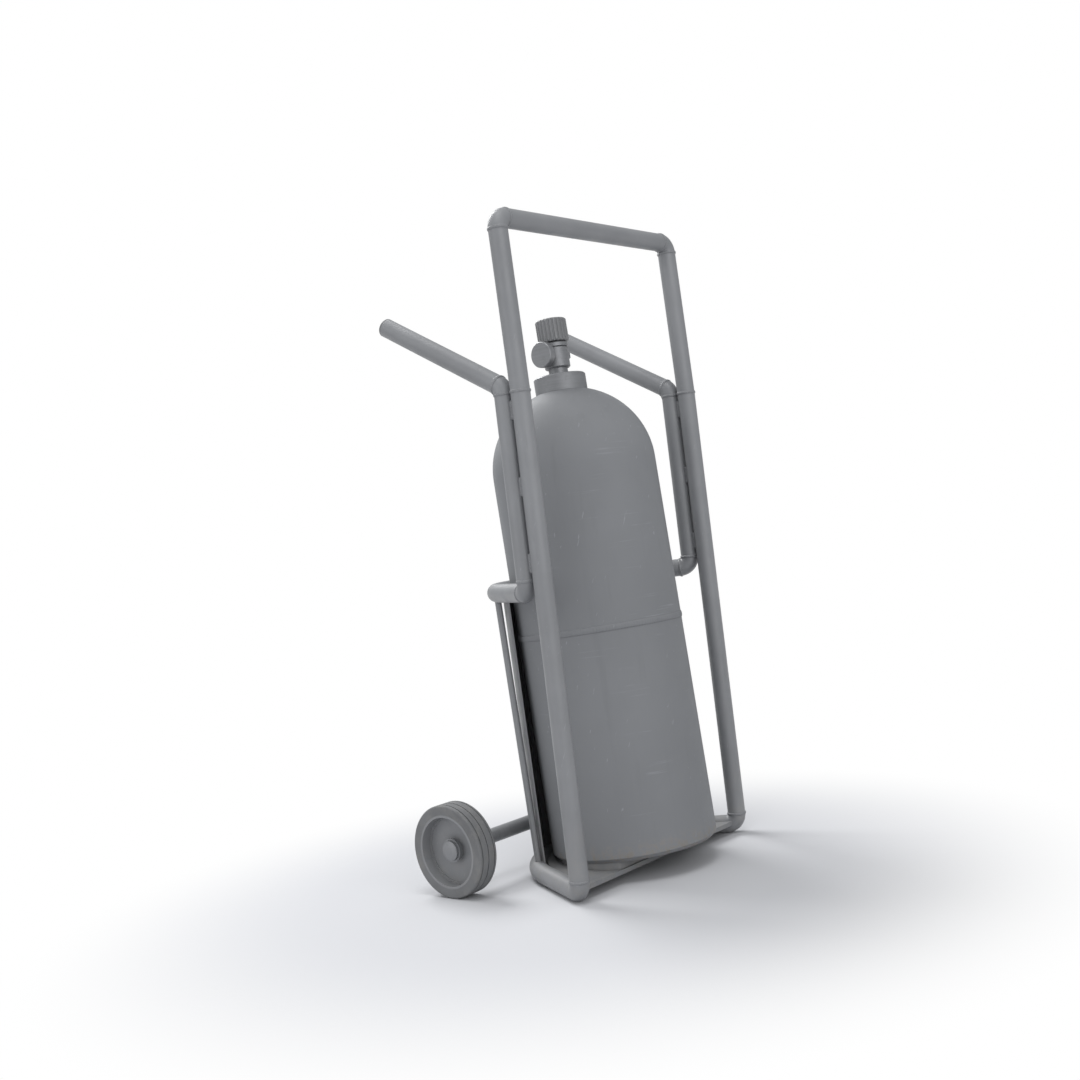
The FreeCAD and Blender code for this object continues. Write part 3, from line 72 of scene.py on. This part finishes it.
class Tree:
    """The node tree of one material."""

    def __init__(self, name):
        self.material = bpy.data.materials.new(name)
        self.material.use_nodes = True
        self.nodes = self.material.node_tree.nodes
        self.links = self.material.node_tree.links
        self.shader = self.nodes["Principled BSDF"]
        self.place = self.nodes.new("ShaderNodeTexCoord").outputs["Object"]

    def link(self, source, target):
        self.links.new(source, target)

    def feed(self, value, socket):
        """Give a socket a number, a colour or the output of another node."""
        if isinstance(value, (int, float)):
            socket.default_value = value
        elif isinstance(value, tuple):
            socket.default_value = (*value, 1.0)
        else:
            self.link(value, socket)

    def mapped(self, scale=(1, 1, 1), move=(0, 0, 0), turn=(0, 0, 0)):
        """The point's place, less move, turned back by turn and multiplied by scale."""
        node = self.nodes.new("ShaderNodeMapping")
        node.vector_type = "TEXTURE"
        node.inputs["Location"].default_value = move
        node.inputs["Rotation"].default_value = turn
        node.inputs["Scale"].default_value = [1.0 / s for s in scale]
        self.link(self.place, node.inputs["Vector"])
        return node.outputs["Vector"]

    def noise(self, scale, detail=3.0, rough=0.5, where=None):
        node = self.nodes.new("ShaderNodeTexNoise")
        node.inputs["Scale"].default_value = scale
        node.inputs["Detail"].default_value = detail
        node.inputs["Roughness"].default_value = rough
        self.link(where or self.place, node.inputs["Vector"])
        return node.outputs["Fac"]

    def ramp(self, value, low, high, start=0.0, end=1.0):
        """A smooth step from start to end while the value goes from low to high."""
        node = self.nodes.new("ShaderNodeMapRange")
        node.interpolation_type = "SMOOTHSTEP"
        node.inputs["From Min"].default_value = low
        node.inputs["From Max"].default_value = high
        node.inputs["To Min"].default_value = start
        node.inputs["To Max"].default_value = end
        self.link(value, node.inputs["Value"])
        return node.outputs["Result"]

    def math(self, kind, first, second):
        node = self.nodes.new("ShaderNodeMath")
        node.operation = kind
        self.feed(first, node.inputs[0])
        self.feed(second, node.inputs[1])
        return node.outputs["Value"]

    def times(self, product, *others):
        """The product of sockets and numbers."""
        for other in others:
            product = self.math("MULTIPLY", product, other)
        return product

    def mix(self, share, first, second):
        """Two colours mixed. Inputs 6 and 7 and output 2 are the node's sockets for colours."""
        node = self.nodes.new("ShaderNodeMix")
        node.data_type = "RGBA"
        self.link(share, node.inputs[0])
        self.feed(first, node.inputs[6])
        self.feed(second, node.inputs[7])
        return node.outputs[2]

    def varied(self, value, colour, darkest, lightest):
        """A colour that goes between two of its own shades with the value of a noise."""
        share = self.ramp(value, 0.3, 0.7)
        return self.mix(share, shade(colour, darkest), shade(colour, lightest))

    def height_over(self, origin, up):
        """How far a point lies from origin, along up."""
        shift = self.nodes.new("ShaderNodeVectorMath")
        shift.operation = "SUBTRACT"
        shift.inputs[1].default_value = origin
        self.link(self.place, shift.inputs[0])
        dot = self.nodes.new("ShaderNodeVectorMath")
        dot.operation = "DOT_PRODUCT"
        dot.inputs[1].default_value = up
        self.link(shift.outputs["Vector"], dot.inputs[0])
        return dot.outputs["Value"]

    def edges(self, width, low=0.02, high=0.22):
        """Near one on sharp edges, from how far a rounded normal strays from the face's own."""
        bevel = self.nodes.new("ShaderNodeBevel")
        bevel.samples = 6
        bevel.inputs["Radius"].default_value = width
        plain = self.nodes.new("ShaderNodeNewGeometry")
        dot = self.nodes.new("ShaderNodeVectorMath")
        dot.operation = "DOT_PRODUCT"
        self.link(bevel.outputs["Normal"], dot.inputs[0])
        self.link(plain.outputs["Normal"], dot.inputs[1])
        return self.ramp(self.math("SUBTRACT", 1.0, dot.outputs["Value"]), low, high)

    def bump(self, heights, rounded=0.0):
        """Stack (socket, strength, distance) bumps on one normal, over softly rounded edges."""
        normal = None
        if rounded:
            bevel = self.nodes.new("ShaderNodeBevel")
            bevel.samples = 4
            bevel.inputs["Radius"].default_value = rounded
            normal = bevel.outputs["Normal"]
        for socket, strength, distance in heights:
            node = self.nodes.new("ShaderNodeBump")
            node.inputs["Strength"].default_value = strength
            node.inputs["Distance"].default_value = distance
            self.link(socket, node.inputs["Height"])
            if normal:
                self.link(normal, node.inputs["Normal"])
            normal = node.outputs["Normal"]
        self.link(normal, self.shader.inputs["Normal"])

    def set(self, **values):
        """Feed the shader's inputs, named in lower case with underscores."""
        for name, value in values.items():
            socket_name = name.replace("_", " ").title().replace("Ior", "IOR")
            self.feed(value, self.shader.inputs[socket_name])


GREY = (0.205, 0.210, 0.220)
BOTTLE_GREY = (0.200, 0.206, 0.216)
# Painted shade: the back panel has the same paint as the frame, made a darker grey because it sits
# in shade behind the bottle.
PANEL_SHADE_GREY = (0.180, 0.184, 0.192)
BARE_STEEL = (0.34, 0.33, 0.32)
DULL_STEEL = (0.30, 0.28, 0.26)
DUST = (0.27, 0.255, 0.235)
CHALKED_RUBBER = (0.215, 0.21, 0.20)

# Scales of the fine lines that turning leaves round the x axis or round the z axis.
ROUND_X = (900, 14, 14)
ROUND_Z = (14, 14, 900)


def shade(colour, factor):
    return tuple(c * factor for c in colour)


def paint(name, colour, rough=(0.36, 0.52), wear=0.8, peel=0.12, dust=0.35, scratches=0.5):
    """Sprayed paint: orange peel, cloudy tone, hairline scratches, bare edges, dust low down."""
    t = Tree(name)
    tone = t.varied(t.noise(7.0, 4.0, 0.6), colour, 0.93, 1.07)
    streak = t.noise(1.0, 5.0, 0.65, t.mapped(scale=(140, 140, 18)))
    tone = t.mix(t.ramp(streak, 0.58, 0.78, 0.0, 0.35), tone, shade(colour, 0.8))
    hair = t.noise(1.0, 2.0, 0.5, t.mapped(scale=(520, 520, 14), turn=(0.35, 0.2, 0.4)))
    hair = t.ramp(hair, 0.70, 0.74, 0.0, scratches)
    tone = t.mix(hair, tone, shade(colour, 1.45))
    chip = t.ramp(t.noise(150.0, 6.0, 0.7), 0.48, 0.62)
    bare = t.times(t.edges(0.0011), chip, wear)
    tone = t.mix(bare, tone, BARE_STEEL)
    low = t.ramp(t.height_over((0, 0, 0), (0, 0, 1)), 0.0, 0.14, dust, 0.0)
    grime = t.times(low, t.ramp(t.noise(45.0, 5.0, 0.65), 0.35, 0.75))
    tone = t.mix(grime, tone, DUST)
    gloss = t.ramp(t.noise(30.0, 4.0, 0.6), 0.3, 0.7, rough[0], rough[1])
    gloss = t.math("ADD", gloss, t.times(grime, 0.35))
    t.set(base_color=tone, roughness=gloss, metallic=t.times(bare, 0.85))
    t.bump(((t.noise(900.0, 2.0), peel, 0.0004),
            (t.noise(260.0, 3.0), peel * 0.8, 0.0006),
            (hair, 0.25, 0.0001)), rounded=0.0006)
    return t.material


def metal(name, colour, scale, rough=(0.24, 0.4), stain=0.3, edge=1.25, rounded=0.0004, shine=1.0):
    """Turned or rolled metal: fine lines round the axis, soft stains, brighter edges."""
    t = Tree(name)
    lines = t.noise(1.0, 3.0, 0.6, t.mapped(scale=scale))
    tone = t.varied(lines, colour, 0.92, 1.06)
    spots = t.ramp(t.noise(60.0, 6.0, 0.7), 0.52, 0.72, 0.0, stain)
    tone = t.mix(spots, tone, shade(colour, 0.55))
    tone = t.mix(t.times(t.edges(0.0006), 0.6), tone, shade(colour, edge))
    gloss = t.ramp(lines, 0.25, 0.75, rough[0], rough[1])
    gloss = t.math("ADD", gloss, t.times(spots, 0.35))
    t.set(base_color=tone, roughness=gloss, metallic=shine)
    t.bump(((lines, 0.08, 0.0002), (t.noise(420.0, 3.0), 0.06, 0.0003)), rounded=rounded)
    return t.material


def weld_metal(name, colour):
    """Painted weld beads: tone pools between the ripples, rough where spatter stuck."""
    t = Tree(name)
    grain = t.noise(700.0, 4.0, 0.6)
    tone = t.varied(grain, colour, 0.82, 1.12)
    tone = t.mix(t.ramp(t.noise(90.0, 4.0, 0.7), 0.55, 0.75, 0.0, 0.5), tone, shade(colour, 0.6))
    t.set(base_color=tone, roughness=t.ramp(grain, 0.2, 0.8, 0.38, 0.6))
    t.bump(((grain, 0.2, 0.0004), (t.noise(2200.0, 2.0), 0.15, 0.0002)))
    return t.material


def rubber(name, colour):
    """Solid grey tyre rubber: fine moulded rings on the walls, dust in the low spots."""
    t = Tree(name)
    wave = t.nodes.new("ShaderNodeTexWave")
    wave.wave_type = "RINGS"
    wave.rings_direction = "X"
    wave.inputs["Scale"].default_value = 130.0
    wave.inputs["Distortion"].default_value = 0.0
    t.link(t.mapped(move=WHEEL_AXIS), wave.inputs["Vector"])
    grain = t.noise(1500.0, 3.0, 0.6)
    scuff = t.ramp(t.noise(55.0, 6.0, 0.7), 0.45, 0.7)
    tone = t.varied(t.noise(16.0, 4.0), colour, 0.85, 1.1)
    tone = t.mix(t.times(scuff, 0.5), tone, CHALKED_RUBBER)
    tone = t.mix(t.times(t.edges(0.0015), 0.35), tone, shade(colour, 1.5))
    t.set(base_color=tone, roughness=t.ramp(grain, 0.2, 0.8, 0.66, 0.86), specular_ior_level=0.35)
    t.bump(((wave.outputs["Fac"], 0.10, 0.0003), (grain, 0.25, 0.0003),
            (t.noise(190.0, 4.0), 0.2, 0.0005)), rounded=0.0008)
    return t.material


def plastic(name, colour, rough=(0.42, 0.6)):
    """Moulded plastic, rubber or filler: a fine grain and paler edges."""
    t = Tree(name)
    grain = t.noise(1100.0, 3.0, 0.6)
    tone = t.varied(t.noise(60.0, 4.0), colour, 0.88, 1.1)
    tone = t.mix(t.times(t.edges(0.0008), 0.4), tone, shade(colour, 1.7))
    t.set(base_color=tone, roughness=t.ramp(grain, 0.2, 0.8, rough[0], rough[1]))
    t.bump(((grain, 0.2, 0.0003),), rounded=0.0006)
    return t.material


def bottle_paint(name, colour):
    """Cylinder paint: level coats with faint bands, scuffs from rolling, a worn foot."""
    t = Tree(name)
    height = t.height_over(FOOT, BOTTLE_UP)
    tone = t.varied(t.noise(4.0, 4.0, 0.55), colour, 0.95, 1.05)
    runs = t.noise(1.0, 4.0, 0.6, t.mapped(scale=(60, 60, 5)))
    tone = t.mix(t.ramp(runs, 0.55, 0.75, 0.0, 0.3), tone, shade(colour, 0.86))
    hoops = t.noise(1.0, 3.0, 0.6, t.mapped(scale=(9, 9, 260)))
    scuff = t.times(t.ramp(hoops, 0.60, 0.72, 0.0, 0.6), t.ramp(t.noise(14.0, 4.0), 0.5, 0.66))
    tone = t.mix(scuff, tone, shade(colour, 1.35))
    hair = t.noise(1.0, 2.0, 0.5, t.mapped(scale=(300, 300, 11), turn=(0.2, 0.35, 0.1)))
    hair = t.ramp(hair, 0.71, 0.75, 0.0, 0.6)
    tone = t.mix(hair, tone, shade(colour, 1.5))
    foot = t.ramp(height, 0.004, 0.03, 1.0, 0.0)
    chipped = t.ramp(t.noise(110.0, 6.0, 0.72), 0.46, 0.6)
    bare = t.times(foot, chipped, 0.85)
    worn_edges = t.times(t.edges(0.0015), chipped, 0.7)
    bare = t.math("MAXIMUM", bare, worn_edges)
    tone = t.mix(bare, tone, DULL_STEEL)
    gloss = t.ramp(t.noise(22.0, 4.0, 0.6), 0.3, 0.7, 0.58, 0.70)
    gloss = t.math("ADD", gloss, t.times(t.math("MAXIMUM", scuff, bare), 0.2))
    t.set(base_color=tone, roughness=gloss, metallic=t.times(bare, 0.8), specular_ior_level=0.22)
    t.bump(((t.noise(700.0, 2.0), 0.07, 0.0005), (t.noise(120.0, 3.0), 0.08, 0.0008),
            (hair, 0.3, 0.0001)), rounded=0.001)
    return t.material


# One look for each slot that the part's record names.
LOOKS = {
    "frame_paint": paint("frame_paint", GREY),
    # The back panel's darker grey is painted shade, not a different paint from the frame's.
    "panel_paint": paint("panel_paint", PANEL_SHADE_GREY, rough=(0.4, 0.58), dust=0.5),
    "weld_paint": weld_metal("weld_paint", GREY),
    "plug_plastic": plastic("plug_plastic", (0.15, 0.153, 0.158)),
    "plated_steel": metal("plated_steel", (0.235, 0.24, 0.25), ROUND_X,
                          rough=(0.36, 0.5), shine=0.5),
    "tyre_rubber": rubber("tyre_rubber", (0.160, 0.163, 0.168)),
    "rim_paint": paint("rim_paint", GREY, wear=0.6, dust=0.3),
    "bush_plastic": plastic("bush_plastic", (0.5, 0.49, 0.46)),
    "bottle_paint": bottle_paint("bottle_paint", BOTTLE_GREY),
    "neck_steel": metal("neck_steel", (0.22, 0.225, 0.235), (12, 12, 700),
                        rough=(0.42, 0.56), shine=0.4),
    "filler": plastic("filler", (0.5, 0.48, 0.45), rough=(0.8, 0.95)),
    "valve_plating": metal("valve_plating", (0.225, 0.23, 0.24), ROUND_Z,
                           rough=(0.36, 0.5), shine=0.5),
    "valve_brass": metal("valve_brass", (0.60, 0.45, 0.20), ROUND_Z),
    "seal_rubber": plastic("seal_rubber", (0.04, 0.04, 0.04), rough=(0.6, 0.8)),
    "handwheel_alloy": paint("handwheel_alloy", (0.19, 0.193, 0.20), wear=1.0, dust=0.0, peel=0.2),
    "spindle_steel": metal("spindle_steel", (0.45, 0.45, 0.45), ROUND_Z),
}

slots = {row["node"]: row["material_slot"] for row in frame["record"]["subparts"]}
for node, item in frame["nodes"].items():
    item.data.materials.clear()
    item.data.materials.append(LOOKS[slots[node]])


# Weld beads, each a rippled ridge laid along a path. The lift of a ripple, from about 0 to 1,
# widens and raises the ridge there. An open ridge tapers at its ends.

SEED_STEP = 7919
RIDGE_SIDES = 12
STEPS_PER_RIPPLE = 8
CRESCENT_BOW = 0.38
RISE_SHARE = 0.12
FALL_POWER = 0.7
JITTER = 0.10
LEAST_WIDTH = 0.93
WIDTH_GAIN = 0.1
LEAST_HEIGHT = 0.72
HEIGHT_GAIN = 0.34
TAPER_RATE = 9.0
TAPER_START = 0.02


def ripple(turns, across, seed):
    """Overlapping crescents: each rises quickly and falls off towards the next."""
    phase = turns + CRESCENT_BOW * across * across
    whole = math.floor(phase)
    part = phase - whole
    jitter = random.Random(seed * SEED_STEP + whole).uniform(-JITTER, JITTER)
    if part > RISE_SHARE:
        return (1.0 - part) ** FALL_POWER * (1.0 + jitter)
    return part / RISE_SHARE * (1.0 + jitter)


def ridge(points, outwards, closed, half_width, height, pitch, seed):
    """Vertices and faces of a rippled ridge along points, raised along outwards."""
    count = len(points)
    around = RIDGE_SIDES
    vertices = []
    run = 0.0
    for index, point in enumerate(points):
        after = points[(index + 1) % count] if closed or index < count - 1 else point
        before = points[index - 1] if closed or index else point
        along = (after - before).normalized()
        out = outwards[index]
        side = along.cross(out).normalized()
        if index:
            run += (point - points[index - 1]).length
        taper = 1.0
        if not closed:
            share = index / (count - 1)
            taper = min(1.0, math.sqrt(min(share, 1.0 - share) * TAPER_RATE + TAPER_START))
        for step in range(around):
            turn = 2 * math.pi * step / around
            across = math.cos(turn)
            lift = ripple(run / pitch, across, seed)
            wide = half_width * taper * (LEAST_WIDTH + WIDTH_GAIN * lift)
            high = height * taper * (LEAST_HEIGHT + HEIGHT_GAIN * lift)
            vertices.append(point + side * (across * wide) + out * (math.sin(turn) * high))
    faces = []
    rows = count if closed else count - 1
    for row in range(rows):
        next_row = (row + 1) % count
        for step in range(around):
            other = (step + 1) % around
            faces.append((row * around + step, row * around + other,
                          next_row * around + other, next_row * around + step))
    if not closed:
        faces.append(tuple(reversed(range(around))))
        faces.append(tuple((count - 1) * around + step for step in range(around)))
    return vertices, faces


def mesh_piece(name, parts, body, slot, replaced):
    """One object from several (vertices, faces) lists, in place of the replaced nodes."""
    vertices, faces = [], []
    for some_vertices, some_faces in parts:
        start = len(vertices)
        vertices += [tuple(v) for v in some_vertices]
        faces += [tuple(start + i for i in f) for f in some_faces]
    mesh = bpy.data.meshes.new(name)
    mesh.from_pydata(vertices, [], faces)
    mesh.validate()
    for polygon in mesh.polygons:
        polygon.use_smooth = True
    mesh.materials.append(LOOKS[slot])
    item = bpy.data.objects.new(name, mesh)
    scene.collection.objects.link(item)
    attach(item, body)
    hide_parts(*replaced)


def ring_path(centre, axis, radius, count):
    """Points round a circle, and the direction outwards at each."""
    axis = axis.normalized()
    first = axis.orthogonal().normalized()
    second = axis.cross(first)
    outwards = [first * math.cos(a) + second * math.sin(a)
                for a in (2 * math.pi * i / count for i in range(count))]
    return [centre + out * radius for out in outwards], outwards


def ring_bead(centre, axis, seed, radius=TUBE, half_width=0.0021, height=0.0011, pitch=0.0026):
    """A closed bead round a tube, with a whole number of ripples."""
    turns = round(2 * math.pi * radius / pitch)
    exact = 2 * math.pi * radius / turns
    points, outwards = ring_path(centre, axis, radius, turns * STEPS_PER_RIPPLE)
    return ridge(points, outwards, True, half_width, height, exact, seed)


lean_up = Vector((0, math.sin(LEAN_BACK), math.cos(LEAN_BACK)))
arm_along = Vector((0, math.sin(ARM_TURN), math.cos(ARM_TURN)))
bend_point = Vector((0, 0, BEND_HEIGHT))
tube_beads = []
for side in SIDES:
    seed = 40 + side
    wide = Vector((side * HALF_WIDTH, 0, 0))
    back = Vector((0, HANDLE_Y, 0))
    joints = (
        (wide + UP * BASE_TOP, UP),
        (wide + bend_point, UP),
        (wide + bend_point + lean_up * (TOP_RISE - ELBOW), lean_up),
        (Vector((side * (HALF_WIDTH - ELBOW), 0, 0)) + bend_point + lean_up * TOP_RISE,
         Vector((1, 0, 0))),
        (wide + back + UP * RUN_BOTTOM, UP),
        (wide + back + bend_point, UP),
        (wide + back + bend_point + Vector((0, ELBOW * (1 - math.cos(ARM_TURN)),
                                            ELBOW * math.sin(ARM_TURN))), arm_along),
        (Vector((side * (HALF_WIDTH - ELBOW * math.sin(UPPER_YAW)),
                 HANDLE_Y + ELBOW * math.cos(UPPER_YAW), UPPER_Z)),
         Vector((-side * math.sin(UPPER_YAW), math.cos(UPPER_YAW), 0))),
    )
    for index, (centre, axis) in enumerate(joints):
        tube_beads.append(ring_bead(centre, axis, seed + 3 * index))
mesh_piece("tube_welds", tube_beads, "frame", "weld_paint", ("weld_beads",))


# The stitches between an upright and its handle run: lengths in metres, and points along one.
STITCH_INSET = 0.022
STITCH_LENGTH = 0.025
STITCH_BESIDE = 0.0042
STITCH_POINTS = 90


def stitch_bead(low, high, out, seed):
    """A straight bead between an upright and its handle run."""
    points = [low.lerp(high, i / (STITCH_POINTS - 1)) for i in range(STITCH_POINTS)]
    return ridge(points, [out] * STITCH_POINTS, closed=False, half_width=0.0030, height=0.0017,
                 pitch=0.0028, seed=seed)


stitches = []
first = RUN_BOTTOM + STITCH_INSET
last = BEND_HEIGHT - STITCH_INSET
half = UP * (STITCH_LENGTH / 2)
for side in SIDES:
    for index, middle in enumerate((first, (first + last) / 2, last)):
        for face in (-1, 1):
            spot = Vector((side * HALF_WIDTH + face * STITCH_BESIDE, HANDLE_Y / 2, middle))
            stitches.append(stitch_bead(spot - half, spot + half, Vector((face, 0, 0)),
                                        11 * index + 5 * face + side))
mesh_piece("handle_welds", stitches, "frame", "weld_paint", ("handle_stitches",))

girth = ring_bead(FOOT + BOTTLE_UP * GIRTH, BOTTLE_UP, seed=5, radius=BOTTLE_RADIUS,
                  half_width=0.0044, height=0.0012, pitch=0.0042)
mesh_piece("girth_bead", [girth], "bottle", "bottle_paint", ("girth_weld",))


# Floor, light and camera. The floor is plain under the cart, where it holds the shadow, and
# fades into the white backdrop between two distances from a point near the cart.

FLOOR_COLOUR = (0.54, 0.545, 0.565)
FLOOR_REACH = 30.0
FLOOR_DROP = 0.0004
FADE_CENTRE = (-0.09, 0.095, 0.0)
FADE_START = 0.30
FADE_END = 0.72
AMBIENT_COLOUR = (0.97, 0.985, 1.0, 1.0)
AMBIENT = 0.56
WHITE = (1, 1, 1, 1)


def floor_material():
    t = Tree("floor_white")
    mask = t.nodes.new("ShaderNodeVectorMath")
    mask.operation = "LENGTH"
    t.link(t.mapped(move=FADE_CENTRE), mask.inputs[0])
    far = t.ramp(mask.outputs["Value"], FADE_START, FADE_END)
    path = t.nodes.new("ShaderNodeLightPath")
    seen = t.math("MAXIMUM", path.outputs["Is Camera Ray"], path.outputs["Is Glossy Ray"])
    share = t.times(far, seen)
    t.set(base_color=FLOOR_COLOUR, roughness=0.9, specular_ior_level=0.1)
    white = t.nodes.new("ShaderNodeEmission")
    white.inputs["Color"].default_value = WHITE
    white.inputs["Strength"].default_value = 1.0
    mixed = t.nodes.new("ShaderNodeMixShader")
    t.link(share, mixed.inputs[0])
    t.link(t.shader.outputs["BSDF"], mixed.inputs[1])
    t.link(white.outputs["Emission"], mixed.inputs[2])
    t.link(mixed.outputs["Shader"], t.nodes["Material Output"].inputs["Surface"])
    return t.material


def add_floor():
    reach = FLOOR_REACH
    corners = [(-reach, -reach, 0), (reach, -reach, 0), (reach, reach, 0), (-reach, reach, 0)]
    ground = bpy.data.meshes.new("floor")
    ground.from_pydata(corners, [], [(0, 1, 2, 3)])
    ground.materials.append(floor_material())
    floor = bpy.data.objects.new("floor", ground)
    scene.collection.objects.link(floor)
    floor.location.z = -FLOOR_DROP


def add_world():
    """Soft light from all round, seen as white by the camera and through clear pieces."""
    world = bpy.data.worlds.new("studio")
    scene.world = world
    world.use_nodes = True
    nodes, links = world.node_tree.nodes, world.node_tree.links
    nodes.clear()
    path = nodes.new("ShaderNodeLightPath")
    seen = nodes.new("ShaderNodeMath")
    seen.operation = "MAXIMUM"
    links.new(path.outputs["Is Camera Ray"], seen.inputs[0])
    links.new(path.outputs["Is Transmission Ray"], seen.inputs[1])
    ambient = nodes.new("ShaderNodeBackground")
    ambient.inputs["Color"].default_value = AMBIENT_COLOUR
    ambient.inputs["Strength"].default_value = AMBIENT
    white = nodes.new("ShaderNodeBackground")
    white.inputs["Color"].default_value = WHITE
    white.inputs["Strength"].default_value = 1.0
    choose = nodes.new("ShaderNodeMixShader")
    links.new(seen.outputs["Value"], choose.inputs[0])
    links.new(ambient.outputs["Background"], choose.inputs[1])
    links.new(white.outputs["Background"], choose.inputs[2])
    sky = nodes.new("ShaderNodeOutputWorld")
    links.new(choose.outputs["Shader"], sky.inputs["Surface"])


# The camera as fitted to the photograph: its axes, its place in metres and its lens in mm.
CAMERA_RIGHT = Vector((0.6528, -0.7480, -0.1198))
CAMERA_UP = Vector((0.0780, -0.0910, 0.9928))
CAMERA_BACK = Vector((-0.7535, -0.6575, -0.0011))
CAMERA_PLACE = Vector((-1.411, -1.075, 0.456))
LENS = 43.46
SENSOR = 36.0

# Soft lamps, placed from the cart's middle along the camera's right, its back and up, in metres,
# with power in watts and width in metres.
CART_MIDDLE = Vector((0.0, 0.08, 0.45))
LAMPS = (
    ("key", -1.4, -1.8, 2.2, 93.0, 1.7),
    ("fill", 1.3, 2.5, 0.6, 31.0, 2.4),
    ("side", -2.4, 1.3, 0.4, 15.0, 2.2),
    ("top", 0.0, 0.9, 2.5, 25.0, 1.3),
)


def add_lamp(name, right, back, up, power, width):
    data = bpy.data.lights.new(name, "AREA")
    data.energy = power
    data.size = width
    item = bpy.data.objects.new(name, data)
    item.location = CART_MIDDLE + CAMERA_RIGHT * right + CAMERA_BACK * back + UP * up
    item.rotation_mode = "QUATERNION"
    item.rotation_quaternion = (CART_MIDDLE - item.location).to_track_quat("-Z", "Y")
    scene.collection.objects.link(item)


def add_camera():
    data = bpy.data.cameras.new("camera")
    data.lens = LENS
    data.sensor_width = SENSOR
    data.clip_start = 0.05
    data.clip_end = 100.0
    camera = bpy.data.objects.new("camera", data)
    turned = Matrix((CAMERA_RIGHT, CAMERA_UP, CAMERA_BACK)).transposed()
    camera.matrix_world = Matrix.Translation(CAMERA_PLACE) @ turned.to_4x4()
    scene.collection.objects.link(camera)
    scene.camera = camera


add_floor()
add_world()
for lamp in LAMPS:
    add_lamp(*lamp)
add_camera()
scene.view_settings.view_transform = "Standard"
